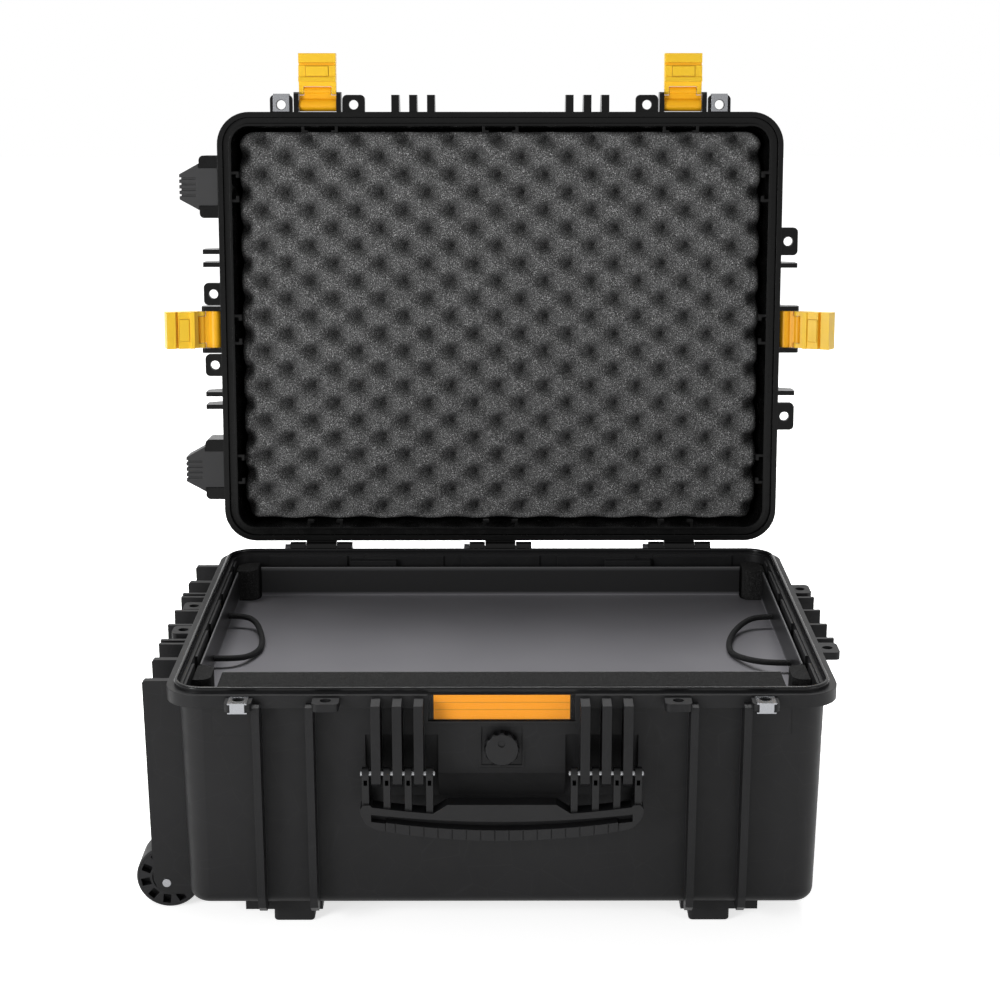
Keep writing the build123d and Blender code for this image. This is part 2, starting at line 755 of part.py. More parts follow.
def make_trolley_grip():
    low = tube_z - tube_radius - 2
    high = low + grip_bar_height
    bar = block((bar_low_x, bar_low_x + grip_bar_thick), (-grip_bar_half, grip_bar_half), (low, high))
    bar = fillet(bar.edges().filter_by(Axis.Y), 5)
    for y in (-tube_spacing, tube_spacing):
        bar = bar - rod_x(tube_radius + running, bar_low_x - 1, tube_end + seat, y, tube_z)
    slot = block((bar_low_x + 4, bar_low_x + grip_bar_thick + 1), (-pull_button, pull_button), (low + 5, low + 15))
    return bar - slot


pull_button = 17.0


def make_trolley_button():
    low = tube_z - tube_radius - 2 + 5
    outer = bar_low_x + grip_bar_thick + 0.8
    span = (seat - pull_button, pull_button - seat)
    button = block((bar_low_x + grip_bar_thick - 7, outer), span, (low + seat, low + 10 - seat))
    return chamfer(button.faces().sort_by(Axis.X)[-1].edges(), 0.8)


# Lid, modelled closed and then opened
lid_top = lid_z + lid_depth
lid_cavity_top = lid_top - wall


def lid_knuckles():
    arm = ((back - flange_overhang - 1, hinge_y), (lid_z + 0.4, hinge_z + knuckle_radius))
    gusset = [(back - flange_overhang - 3, lid_z + 34), (back, hinge_z + knuckle_radius)]
    gusset += [(back - flange_overhang - 3, hinge_z + knuckle_radius)]
    half = hinge_width / 4 - side_play
    found = []
    for x in hinge_sites():
        found += [knuckle(x - half, x + half, arm), slab_x(gusset, x, 2 * half)]
    return found


def latch_post(side):
    # Upright beside a latch that carries the link pin.
    low, high = sorted((side * latch_clear, side * (latch_clear + post_width)))
    points = [(flange_overhang + 2, 1), (2 - post_reach, 1), (-post_reach, 3), (-post_reach, 16),
              (3 - post_reach, 19), (0, 24), (flange_overhang + 2, 34)]
    return slab_x(points, (low + high) / 2, post_width)


def stand_bracket():
    # Two ears that hold a stand foot, on the rim edge.
    ears = []
    for side in (-1, 1):
        low, high = sorted((side * stand_insert / 2, side * stand_width / 2))
        ear = block((low, high), (-20.5, flange_overhang + 2), (2, 2 + stand_depth))
        corner = ear.edges().filter_by(Axis.Z).group_by(Axis.Y)[0].sort_by(Axis.X)[0 if side < 0 else -1]
        ears.append(fillet(corner, 5))
    ears.append(block((-stand_width / 2, stand_width / 2), (0, flange_overhang + 3), (2, 2 + stand_depth)))
    return ears


def stand_foot():
    # Serrated foot between the ears; the lid's left side stands on it.
    low = 3.0
    high = 1 + stand_depth
    inner = stand_insert / 2 - seat
    shoulder = 25.0
    nose = 13.5
    points = [(-inner, -seat), (-inner, -21), (-shoulder, -21), (-nose, -stand_reach), (nose, -stand_reach),
              (shoulder, -21), (inner, -21), (inner, -seat)]
    foot = extrude(Pos(0, 0, low) * make_face(Polyline(*points, close=True)), amount=high - low)
    grooves = []
    for k in range(4):
        x = (k - 1.5) * 6.0
        grooves.append(block((x - 1.1, x + 1.1), (-stand_reach - 1, -stand_reach + 2), (low - 1, high + 1)))
        grooves.append(block((x - 1.1, x + 1.1), (-stand_reach - 1, -stand_reach + 18), (low - 1, low + 1.5)))
    return foot.cut(*grooves)


def lid_hooks():
    # Small hooks inside the mouth that can hold a panel.
    found = []
    inset = inner_inset - 0.5
    low = lid_z + 3
    high = lid_z + 12
    for x in (-hinge_spacing + 4, 0.0, hinge_spacing - 4):
        for half in (-18.0, 18.0):
            stem = block((x + half - 1.5, x + half + 1.5), (front + inset, front + inset + 8), (low, high))
            ends = sorted((x + half, x + half * 0.7))
            tip = block(ends, (front + inset + 5, front + inset + 8), (low, high))
            hook = stem + tip
            found += [hook, mirror(hook, about=Plane.XZ)]
    for y in (-wheel_place, 0.0, wheel_place):
        for half in (-15.0, 15.0):
            stem = block((left + inset, left + inset + 8), (y + half - 1.5, y + half + 1.5), (low, high))
            ends = sorted((y + half, y + half * 0.65))
            tip = block((left + inset + 5, left + inset + 8), ends, (low, high))
            hook = stem + tip
            found += [hook, mirror(hook, about=Plane.YZ)]
    return found


def make_lid_shell():
    shell = drafted_block(lid_z + flange_height, lid_top, flange_overhang, flange_overhang + draft)
    shell = fillet(shell.faces().sort_by(Axis.Z)[-1].edges(), lid_round)
    added = [rounded_block(0, lid_z, lid_z + flange_height)]
    for location, place, tilt in latch_sites.values():
        for side in (-1, 1):
            added.append(location(place, lid_z) * latch_post(side))
    for x in (-latch_spacing, latch_spacing):
        for place in (-lug_place, lug_place):
            added.append(on_front(x, lid_z) * lug(place, 2, 2 + lug_thick))
    for place in (-lug_place, lug_place):
        added.append(on_left(0, lid_z) * lug(place, 2, 2 + lug_thick))
    for place in (-right_lug_place, right_lug_place):
        added.append(on_right(0, lid_z) * lug(place, 2, 2 + lug_thick, right_lug_width))
    for place in (-70.0, 70.0):
        added.append(on_right(0, lid_z) * short_rib(place, side_rib_width, 1, 44))
    for pair in (-side_rib_place, side_rib_place):
        for half in (-side_rib_pitch / 2, side_rib_pitch / 2):
            added.append(on_left(0, lid_z) * short_rib(pair + half, side_rib_width, 1, 44))
    for k in range(3):
        x = inner_finger + (k + 0.5) * finger_pitch
        for side in (-1, 1):
            added.append(on_front(side * x, lid_z) * short_rib(0, hand_rib_width, 1, 48))
    for y in (-wheel_place, wheel_place):
        added += [on_left(y, lid_z) * part for part in stand_bracket()]
    added += lid_knuckles()
    panel = rounded_block(52, lid_top - 1, lid_top + 3.0, corner=75)
    panel = chamfer(panel.faces().sort_by(Axis.Z)[-1].edges(), 2)
    added.append(panel - rounded_block(64, lid_top - 2, lid_top + 4, corner=78))
    for x in (-latch_spacing, 0.0, latch_spacing):
        added.append(block((x - 9, x + 9), (front + 70, back - 70), (lid_top - 1, lid_top + 2.4)))
    shell = shell.fuse(*added)

    cavity = drafted_block(lid_z - 1, lid_cavity_top, inner_inset - 0.1, inner_inset + draft)
    cavity = fillet(cavity.faces().sort_by(Axis.Z)[-1].edges(), lid_round - wall)
    shell = shell - cavity
    shell = shell.fuse(*lid_hooks())

    groove_in = tongue_inset - groove_play
    groove_out = tongue_inset + tongue_width + groove_play
    groove = rounded_block(groove_in, lid_z - 1, lid_z + groove_depth)
    groove = groove - rounded_block(groove_out, lid_z - 2, lid_z + groove_depth + 1)
    cuts = [groove]
    for location, place, tilt in latch_sites.values():
        pin = rod_x(latch_pin_radius + running, -latch_clear - post_width, latch_clear + post_width,
                    -latch_pin_out, latch_pin_up)
        cuts.append(location(place, lid_z) * pin)
    for x in hinge_sites():
        cuts.append(rod_x(hinge_pin_radius + running, x - hinge_width, x + hinge_width, hinge_y, hinge_z))
        for side in (-1, 1):
            low, high = sorted((x + side * (hinge_width / 4 - side_play + 0.01), x + side * (hinge_width / 2 + 7)))
            cuts.append(rod_x(knuckle_radius + 0.8, low, high, hinge_y, hinge_z))
    return shell.cut(*cuts)


def make_lid_seal():
    low = lid_z + groove_depth - seal_height
    inset = tongue_inset - groove_play + seat
    outside = rounded_block(inset, low, lid_z + groove_depth - 0.1)
    inside = rounded_block(tongue_inset + tongue_width + groove_play - seat, low - 1, lid_z + groove_depth + 1)
    return outside - inside


def make_lock_plates_lid():
    clips = [on_front(-latch_spacing, lid_z) * lock_clip(-lug_place, 2, 2 + lug_thick)]
    clips.append(on_front(latch_spacing, lid_z) * lock_clip(lug_place, 2, 2 + lug_thick))
    return clips


def make_latch_pins():
    half = latch_clear + post_width
    pins = []
    for location, place, tilt in latch_sites.values():
        pins.append(location(place, lid_z) * rod_x(latch_pin_radius, -half, half, -latch_pin_out, latch_pin_up))
    return pins


def make_lid_foam():
    # Egg-crate foam: rows of staggered hollows in a thick pad.
    low = lid_z + lid_foam_drop
    inset_low = inner_inset + 6.0
    half_x = (rim_width - 2 * inset_low) / 2
    half_y = (rim_depth - 2 * inset_low) / 2
    pad = rounded_block(inset_low, low, lid_cavity_top - seat)
    limit = drafted_block(lid_z, lid_cavity_top - seat, inner_inset + 1, inner_inset + draft + 1)
    pad = pad & fillet(limit.faces().sort_by(Axis.Z)[-1].edges(), lid_round - wall)
    reach_x = crate_pitch_x / 2 * 0.86
    reach_y = crate_pitch_y / 2 * 0.86
    mouth = make_face(Polyline((reach_x, 0), (0, reach_y), (-reach_x, 0), (0, -reach_y), close=True))
    end = scale(mouth, 0.12)
    dip = loft([Pos(0, 0, -0.2) * mouth, Pos(0, 0, crate_depth) * end], ruled=True)
    dips = []
    rows = ceil(half_y / (crate_pitch_y / 2)) + 1
    columns = ceil(half_x / crate_pitch_x) + 1
    for row in range(-rows, rows + 1):
        for column in range(-columns, columns + 1):
            x = (column + 0.5 * (row % 2)) * crate_pitch_x
            y = row * crate_pitch_y / 2 + crate_shift
            if abs(x) < half_x + reach_x / 2 and abs(y) < half_y + reach_y / 2:
                dips.append(Pos(x, y, low) * dip)
    return pad.cut(*dips)


# Latches, modelled closed on the rim edge: -Y is outwards, -Z is towards the base
def turned(shape_or_point, tilt):
    about = Pos(0, -latch_pin_out, latch_pin_up)
    back_again = Pos(0, latch_pin_out, -latch_pin_up)
    return about * Rot(-tilt, 0, 0) * back_again * shape_or_point


lever_pin_z = latch_pin_up - latch_throw
ear_width = 5.0
ear_radius = 4.4
nose_radius = 4.2
barrel_radius = 7.0
lever_root = lever_pin_z - nose_radius - seat
lever_tip = lever_pin_z - lever_length
hook_top = -lid_gap - flange_height - 0.4
lever_out = -latch_pin_out - lever_thick / 2
button_high = hook_top - 5.8
button_low = button_high - button_height


def latch_link():
    half = latch_width / 2
    inner = half - ear_width - side_play
    barrel = rod_x(barrel_radius, -half, half, -latch_pin_out, latch_pin_up)
    plate_low = lever_pin_z + ear_radius + seat + 0.1
    plate = block((-half, half), (-latch_pin_out - 2.6, -latch_pin_out + 2.6), (plate_low, latch_pin_up))
    neck = block((-inner, inner), (-latch_pin_out - 2.6, -latch_pin_out + 2.6), (lever_pin_z, latch_pin_up))
    nose = rod_x(nose_radius, -inner, inner, -latch_pin_out, lever_pin_z)
    link = barrel + plate + neck + nose
    link = link - rod_x(latch_pin_radius + running, -half - 1, half + 1, -latch_pin_out, latch_pin_up)
    return link - rod_x(latch_pin_radius + running, -half - 1, half + 1, -latch_pin_out, lever_pin_z)


def latch_lever():
    half = latch_width / 2
    points = [
        (-2.2, lever_root),
        (-2.2, hook_top),
        (4.0, hook_top),
        (3.2, hook_top - 4.6),
        (1.2, hook_top - 5.0),
        (1.2, button_low - 0.8),
        (-4.0, button_low - 1.4),
        (-4.0, lever_tip + 10.5),
        (0.8, lever_tip + 9.8),
        (0.8, lever_tip),
        (lever_out - 2.6, lever_tip),
        (lever_out - 0.6, lever_tip + 7),
        (lever_out, lever_tip + 14),
        (lever_out, lever_root - 4),
        (lever_out + 2, lever_root),
    ]
    lever = slab_x(points, 0, latch_width)
    for side in (-1, 1):
        low, high = sorted((side * half, side * (half - ear_width)))
        eye = rod_x(ear_radius, low, high, -latch_pin_out, lever_pin_z)
        arm = block((low, high), (-latch_pin_out - 4.2, -latch_pin_out + 4.2), (lever_root - 1, lever_pin_z))
        lever = lever + eye + arm
    window = block((-button_width / 2 - seat, button_width / 2 + seat), (-30, 10),
                   (button_low - seat, button_high + seat))
    pin = rod_x(latch_pin_radius + running, -half - 1, half + 1, -latch_pin_out, lever_pin_z)
    return lever - window - pin


def lever_pin():
    half = latch_width / 2
    return rod_x(latch_pin_radius, -half, half, -latch_pin_out, lever_pin_z)


def latch_button():
    button = block((-button_width / 2, button_width / 2), (lever_out - 0.8, 2.2), (button_low, button_high))
    return chamfer(button.faces().sort_by(Axis.Y)[0].edges(), 0.7)


def latch_parts(name):
    location, place, tilt = latch_sites[name]
    where = open_lid * location(place, lid_z)
    return {
        "latch_link_" + name: where * turned(latch_link(), tilt),
        "latch_lever_" + name: where * turned(latch_lever(), tilt),
        "lever_pin_" + name: where * turned(lever_pin(), tilt),
        "latch_button_" + name: where * turned(latch_button(), tilt),
    }


# Tray, ropes and foam in the base
tray_top = rim_z - tray_rim_drop
tray_floor = tray_top - tray_height
foam_top = rim_z - foam_drop


def make_tray():
    half = tray_width / 2
    short = half - tray_corner_x
    floor = block((-half, half), (tray_front, tray_back), (tray_floor, tray_floor + sheet))
    corners = []
    for side in (-1, 1):
        x = sorted((side * short, side * (half + 1)))
        corners.append(block(x, (tray_front - 1, tray_front + tray_corner_front), (tray_floor - 1, tray_floor + 3)))
        corners.append(block(x, (tray_back - tray_corner_back, tray_back + 1), (tray_floor - 1, tray_floor + 3)))
    floor = floor.cut(*corners)
    inner = [edge for edge in floor.edges().filter_by(Axis.Z) if abs(abs(edge.center().X) - short) < 0.1
             and tray_front + 1 < edge.center().Y < tray_back - 1]
    floor = fillet(inner, 12)
    walls = []
    for side in (-1, 1):
        x = sorted((side * half, side * (half - sheet)))
        y = (tray_front + tray_corner_front, tray_back - tray_corner_back)
        walls.append(block(x, y, (tray_floor, tray_top)))
    walls.append(block((-short, short), (tray_front, tray_front + sheet), (tray_floor, tray_top)))
    walls.append(block((-short, short), (tray_back - sheet, tray_back), (tray_floor, tray_top)))
    return floor.fuse(*walls)


# Rope routes inside the tray: X from the side wall, Y, height above the tray's floor
left_route = [(0, 86, 12), (18, 86, 12), (30, 73.5, 9.5), (36.5, 54, 5), (41, 29, 3.4), (41.5, 5, 3.4),
              (37, -13, 4), (30, -30, 6), (17, -42, 9), (0, -42, 9)]
right_route = [(0, 82, 12), (18, 82, 12), (32.5, 72, 8.5), (44, 54, 4.5), (51.5, 28, 3.4), (54.5, 0, 3.4),
               (51, -18, 4), (43.5, -34, 6), (34, -48, 8), (18, -58, 9.5), (0, -58, 9.5)]


def rope_points(route, side):
    wall_x = tray_width / 2 - sheet
    floor = tray_floor + sheet
    return [Vector(side * (wall_x - x), y, floor + z) for x, y, z in route]


def rope_radii(points):
    radii = []
    for before, point, after in zip(points, points[1:], points[2:]):
        first, second = point - before, after - point
        turn = first.get_angle(second)
        radii.append(0.45 * min(first.length, second.length) / tan(radians(turn / 2)))
    return radii


def make_rope(route, side):
    points = rope_points(route, side)
    radii = rope_radii(points)
    path = FilletPolyline(*points, radius=radii)
    start = Plane(origin=points[0], z_dir=points[1] - points[0])
    rope = sweep(start * Circle(rope_radius), path=path)
    print("rope radii", [round(radius, 1) for radius in radii], "length", round(path.length, 1),
          "volume over section times length", round(rope.volume / (path.length * 3.14159265 * rope_radius**2), 4))
    return rope


def make_base_foam():
    low = floor_gap + wall + seat
    inset = inner_inset + 3.6
    tray_seat = tray_floor - seat
    foam = rounded_block(inset, low, foam_top)
    inside = drafted_block(floor_gap + wall + seat, rim_z, inner_inset + draft + 0.6, inner_inset + 0.6)
    foam = foam & fillet(inside.faces().sort_by(Axis.Z)[0].edges(), edge_round - wall)
    open_top = block((left, right), (tray_front - 2, back), (tray_seat, rim_z + 1))
    posts = []
    corners = []
    half_x = rim_width / 2 - inset
    strip_half = tray_width / 2 - tray_corner_x
    for side in (-1, 1):
        post_x = sorted((side * (tray_width / 2 - front_post_in), side * half_x))
        back_x = sorted((side * (strip_half + 3), side * half_x))
        corner_x = sorted((side * strip_half, side * right))
        corners.append(block(corner_x, (front, tray_front), (tray_seat, rim_z + 1)))
        front_post = block(post_x, (tray_front - 22, tray_front + tray_corner_front - 4), (tray_seat - 1, foam_top))
        back_post = block(back_x, (tray_back - tray_corner_back + 4, back - inset - 0.6), (tray_seat - 1, foam_top))
        near = Axis.X if side > 0 else -Axis.X
        front_edges = front_post.edges().filter_by(Axis.Z).sort_by(near)[:2]
        back_edge = back_post.edges().filter_by(Axis.Z).sort_by(near)[:2].sort_by(Axis.Y)[0]
        posts += [fillet(front_edges, 10), fillet(back_edge, 12)]
    corner_limit = rounded_block(inset, low, foam_top)
    foam = foam.cut(open_top, *corners).fuse(*[post & corner_limit for post in posts])
    clear = [hand_scoop(wall + 1), pull_pocket(wall + 1)]
    clear += [wheel_well(-wheel_place, wall + 1), wheel_well(wheel_place, wall + 1)]
    clear.append(block((-valve_pad_half - 1, valve_pad_half + 1), (front, valve_wall + valve_pad_thick + 9),
                       (valve_z - valve_pad_half - 1, valve_z + valve_pad_half + 1)))
    return foam.cut(*clear)


def main():
    case = {
        "base_shell": make_base_shell(),
        "padlock_lugs": make_padlock_lugs(),
        "lock_plates_base": make_lock_plates_base(),
        "hinge_pins": make_hinge_pins(),
        "rubber_feet": make_rubber_feet(),
        "label_card": make_label_card(),
        "label_cover": make_label_cover(),
        "valve_body": make_valve_body(),
        "valve_knob": make_valve_knob(),
        "handle_frame": make_handle_frame(),
        "handle_grip": make_handle_grip(),
        "handle_pins": make_handle_pins(),
        "wheel_axles": make_axles(),
        "trolley_guides": make_trolley_guides(),
        "trolley_tubes": make_trolley_tubes(),
        "trolley_grip": make_trolley_grip(),
        "trolley_button": make_trolley_button(),
        "base_foam": make_base_foam(),
        "tray": make_tray(),
        "rope_left": make_rope(left_route, -1),
        "rope_right": make_rope(right_route, 1),
        "lid_shell": open_lid * make_lid_shell(),
        "lid_seal": open_lid * make_lid_seal(),
        "lid_foam": open_lid * make_lid_foam(),
    }
    for name, y in (("front", -wheel_place), ("rear", wheel_place)):
        case["wheel_hub_" + name], case["wheel_tyre_" + name] = make_wheel(y)
    case["lock_plates_lid"] = [open_lid * clip for clip in make_lock_plates_lid()]
    case["latch_pins"] = [open_lid * pin for pin in make_latch_pins()]
    case["stand_feet"] = [open_lid * on_left(y, lid_z) * stand_foot() for y in (-wheel_place, wheel_place)]
    for name in latch_sites:
        case.update(latch_parts(name))

    os.makedirs("parts", exist_ok=True)
    for name, shape in case.items():
        pieces = shape if isinstance(shape, list) else [shape]
        solids = [solid for piece in pieces for solid in piece.solids()]
        placed = [Pos(0, -frame_y, 0) * solid for solid in solids]
        export_step(placed[0] if len(placed) == 1 else Compound(placed), f"parts/{name}.step")
    return case


# Joint places for the record: a point and a direction in the case's own frame at rest
def joint_places():
    shift = Pos(0, -frame_y, 0)
    found = {
        "lid_hinge": ((0, hinge_y, hinge_z), (-1, 0, 0)),
        "carry_handle_hinge": ((0, handle_pin_y, handle_pin_z), (-1, 0, 0)),
        "valve_turn": ((0, valve_wall, valve_z), (0, -1, 0)),
        "wheel_front_spin": ((wheel_x, -wheel_place, wheel_z), (0, 1, 0)),
        "wheel_rear_spin": ((wheel_x, wheel_place, wheel_z), (0, 1, 0)),
        "trolley_slide": ((bar_low_x, 0, tube_z), (1, 0, 0)),
        "trolley_button_push": ((bar_low_x, 0, tube_z), (-1, 0, 0)),
        "tray_lift": ((0, 0, tray_floor), (0, 0, 1)),
    }
    places = {}
    for name, (point, axis) in found.items():
        places[name] = (tuple((shift * Pos(*point)).position), axis)
    for name, (location, place, tilt) in latch_sites.items():
        where = shift * open_lid * location(place, lid_z)
        for joint, point, axis in (("link", (0, -latch_pin_out, latch_pin_up), (-1, 0, 0)),
                                   ("lever", (0, -latch_pin_out, lever_pin_z), (-1, 0, 0)),
                                   ("button", (0, lever_out, button_low), (0, 1, 0))):
            start = (where * turned(Pos(*point), tilt)).position
            end = (where * turned(Pos(*point) * Pos(*axis), tilt)).position
            places[f"{joint}_{name}"] = (tuple(start), tuple(end - start))
    return places


main()
for joint, (point, axis) in joint_places().items():
    print(joint, [round(value, 3) for value in point], [round(value, 4) for value in axis])
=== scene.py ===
import math

import bmesh
import bpy
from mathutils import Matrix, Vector


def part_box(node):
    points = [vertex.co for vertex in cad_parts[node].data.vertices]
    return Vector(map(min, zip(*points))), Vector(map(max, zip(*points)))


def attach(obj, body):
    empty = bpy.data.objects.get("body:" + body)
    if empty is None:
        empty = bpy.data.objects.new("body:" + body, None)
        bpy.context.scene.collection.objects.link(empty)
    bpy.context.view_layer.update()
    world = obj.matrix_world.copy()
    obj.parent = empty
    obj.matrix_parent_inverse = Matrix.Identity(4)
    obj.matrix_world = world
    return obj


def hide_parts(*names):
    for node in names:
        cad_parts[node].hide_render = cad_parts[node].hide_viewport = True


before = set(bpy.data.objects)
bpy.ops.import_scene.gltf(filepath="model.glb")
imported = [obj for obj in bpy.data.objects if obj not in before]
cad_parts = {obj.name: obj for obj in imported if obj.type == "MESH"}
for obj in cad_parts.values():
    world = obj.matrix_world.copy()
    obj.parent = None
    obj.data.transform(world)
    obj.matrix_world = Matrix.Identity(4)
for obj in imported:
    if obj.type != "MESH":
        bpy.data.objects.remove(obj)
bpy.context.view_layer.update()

print("frame loaded", len(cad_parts), "nodes")


def mm(*values):
    return tuple(value / 1000 for value in values)


# Camera
camera = {"lens": 76.96, "sensor": 36.0, "place": mm(-6.4, -2095.1, 892.0), "down": 14.70, "turn": -0.149}


def makeCamera():
    data = bpy.data.cameras.new("camera")
    data.lens = camera["lens"]
    data.sensor_width = camera["sensor"]
    data.clip_start = 0.1
    data.clip_end = 50
    thing = bpy.data.objects.new("camera", data)
    bpy.context.scene.collection.objects.link(thing)
    thing.location = camera["place"]
    thing.rotation_euler = (math.radians(90 - camera["down"]), 0, math.radians(camera["turn"]))
    bpy.context.scene.camera = thing


# Colours and node helpers
def colour(code, alpha=1.0):
    channels = [int(code[k:k + 2], 16) / 255 for k in (1, 3, 5)]
    linear = [c / 12.92 if c <= 0.04045 else ((c + 0.055) / 1.055) ** 2.4 for c in channels]
    return (*linear, alpha)


def perMetre(size):
    # Texture scale whose features are this many millimetres across.
    return 1000 / size


def addNode(tree, kind, settings=None, **inputs):
    node = tree.nodes.new("ShaderNode" + kind)
    for key, value in (settings or {}).items():
        setattr(node, key, value)
    for key, value in inputs.items():
        socket = node.inputs[key.replace("_", " ")]
        if isinstance(value, bpy.types.NodeSocket):
            tree.links.new(value, socket)
        else:
            socket.default_value = value
    return node


def ramp(tree, source, stops):
    node = addNode(tree, "ValToRGB", Fac=source)
    elements = node.color_ramp.elements
    for k, (place, value) in enumerate(stops):
        element = elements[k] if k < 2 else elements.new(place)
        element.position = place
        element.color = value if isinstance(value, tuple) else (value, value, value, 1)
    return node.outputs["Color"]


def mixColour(tree, factor, first, second):
    node = addNode(tree, "Mix", {"data_type": "RGBA"})
    for socket, value in ((node.inputs[0], factor), (node.inputs[6], first), (node.inputs[7], second)):
        if isinstance(value, bpy.types.NodeSocket):
            tree.links.new(value, socket)
        else:
            socket.default_value = value
    return node.outputs[2]


def objectPlace(tree):
    return addNode(tree, "TexCoord").outputs["Object"]


def newMaterial(name):
    material = bpy.data.materials.new(name)
    material.use_nodes = True
    tree = material.node_tree
    tree.nodes.clear()
    output = addNode(tree, "OutputMaterial")
    shader = addNode(tree, "BsdfPrincipled")
    tree.links.new(shader.outputs["BSDF"], output.inputs["Surface"])
    return material, tree, shader


def feed(tree, shader, **values):
    for key, value in values.items():
        socket = shader.inputs[key.replace("_", " ")]
        if isinstance(value, bpy.types.NodeSocket):
            tree.links.new(value, socket)
        else:
            socket.default_value = value


def softEdge(tree, radius):
    # Moulded edges catch light along a small radius.
    return addNode(tree, "Bevel", {"samples": 6}, Radius=radius / 1000).outputs["Normal"]


def join(tree, operation, *values):
    # A chain of one arithmetic step: sockets or numbers, from left to right.
    total = values[0]
    for value in values[1:]:
        node = addNode(tree, "Math", {"operation": operation})
        for socket, part in zip(node.inputs, (total, value)):
            if isinstance(part, bpy.types.NodeSocket):
                tree.links.new(part, socket)
            else:
                socket.default_value = part
        total = node.outputs[0]
    return total


# Materials
mould = {"cloud": 90, "patch": 14, "scuffs": 38, "scuffWidth": 0.012, "scuffTone": "#5a5a5c",
         "polishedTone": "#0b0b0c", "blend": 0.4}


def mouldedPlastic(name, base, light, rough, gloss, grain, grainDepth, edge, scuff=0.0, polished=None):
    # Spark-eroded mould texture: a dull, slightly cloudy face, with clean light on the rounded edges.
    material, tree, shader = newMaterial(name)
    place = objectPlace(tree)
    cloud = addNode(tree, "TexNoise", Vector=place, Scale=perMetre(mould["cloud"]), Detail=3.0).outputs["Fac"]
    shade = ramp(tree, cloud, [(0.35, colour(base)), (0.7, colour(light))])
    fine = addNode(tree, "TexNoise", Vector=place, Scale=perMetre(grain), Detail=2.0).outputs["Fac"]
    patch = addNode(tree, "TexNoise", Vector=place, Scale=perMetre(mould["patch"]), Detail=6.0,
                    Roughness=0.7).outputs["Fac"]
    shine = ramp(tree, patch, [(0.3, rough - 0.05), (0.75, rough + 0.06)])
    bump = addNode(tree, "Bump", Height=fine, Strength=0.5, Distance=grainDepth / 1000,
                   Normal=softEdge(tree, edge))
    if scuff:
        marks = addNode(tree, "TexVoronoi", {"feature": "DISTANCE_TO_EDGE"}, Vector=place,
                        Scale=perMetre(mould["scuffs"]))
        faint = ramp(tree, marks.outputs["Distance"], [(0.0, scuff), (mould["scuffWidth"], 0.0)])
        shade = mixColour(tree, faint, shade, colour(mould["scuffTone"]))
    if polished:
        # Above this height the part is smooth, as the sealing tongue is.
        height = addNode(tree, "SeparateXYZ", Vector=place).outputs["Z"]
        blend = mould["blend"]
        smooth = ramp(tree, height, [((polished - blend) / 1000, 0.0), ((polished + blend) / 1000, 1.0)])
        shade = mixColour(tree, smooth, shade, colour(mould["polishedTone"]))
        shine = mixColour(tree, smooth, shine, (0.2, 0.2, 0.2, 1))
    feed(tree, shader, Base_Color=shade, Roughness=shine, Normal=bump.outputs["Normal"],
         Specular_IOR_Level=gloss, IOR=1.53)
    return material


def brightSteel(name, code, rough):
    # Plated or drawn metal: bright, with short fine lines from polishing.
    material, tree, shader = newMaterial(name)
    place = objectPlace(tree)
    lines = addNode(tree, "TexNoise", Vector=place, Scale=perMetre(0.6), Detail=2.0).outputs["Fac"]
    shine = ramp(tree, lines, [(0.3, rough), (0.8, rough + 0.12)])
    feed(tree, shader, Base_Color=colour(code), Metallic=1.0, Roughness=shine, Normal=softEdge(tree, 0.3))
    return material


foamGrain = {"cells": 1.3, "tone": 1.9, "glints": 1.2, "depth": 0.7}


def openCellFoam(name, base, light, paintedGlintTone, paintedGlintStrength):
    # Cut open-cell foam: matt, finely pitted, with light specks painted into its colour as highlights on the
    # cell walls. Real cells are 0.4 mm across and are drawn larger, so that they show at the photograph's distance.
    material, tree, shader = newMaterial(name)
    place = objectPlace(tree)
    cells = addNode(tree, "TexVoronoi", Vector=place, Scale=perMetre(foamGrain["cells"])).outputs["Distance"]
    tone = addNode(tree, "TexNoise", Vector=place, Scale=perMetre(foamGrain["tone"]), Detail=4.0,
                   Roughness=0.8).outputs["Fac"]
    shade = ramp(tree, tone, [(0.4, colour(base)), (0.6, colour(light))])
    glints = addNode(tree, "TexNoise", Vector=place, Scale=perMetre(foamGrain["glints"]), Detail=2.0,
                     Roughness=0.85).outputs["Fac"]
    # Painted highlight: where this noise peaks, the colour turns to the light glint tone.
    paintedGlintMask = ramp(tree, glints, [(0.56, 0.0), (0.64, paintedGlintStrength)])
    shade = mixColour(tree, paintedGlintMask, shade, colour(paintedGlintTone))
    bump = addNode(tree, "Bump", Height=cells, Strength=0.8, Distance=foamGrain["depth"] / 1000)
    feed(tree, shader, Base_Color=shade, Roughness=0.95, Normal=bump.outputs["Normal"],
         Specular_IOR_Level=0.1)
    return material


def glossyRubber(name, code, rough, gloss):
    # Extruded rubber: black and smooth, so it takes one long soft highlight.
    material, tree, shader = newMaterial(name)
    place = objectPlace(tree)
    haze = addNode(tree, "TexNoise", Vector=place, Scale=perMetre(9), Detail=3.0).outputs["Fac"]
    shine = ramp(tree, haze, [(0.3, rough), (0.75, rough + 0.1)])
    feed(tree, shader, Base_Color=colour(code), Roughness=shine, Normal=softEdge(tree, 0.5),
         Specular_IOR_Level=gloss, IOR=1.52)
    return material


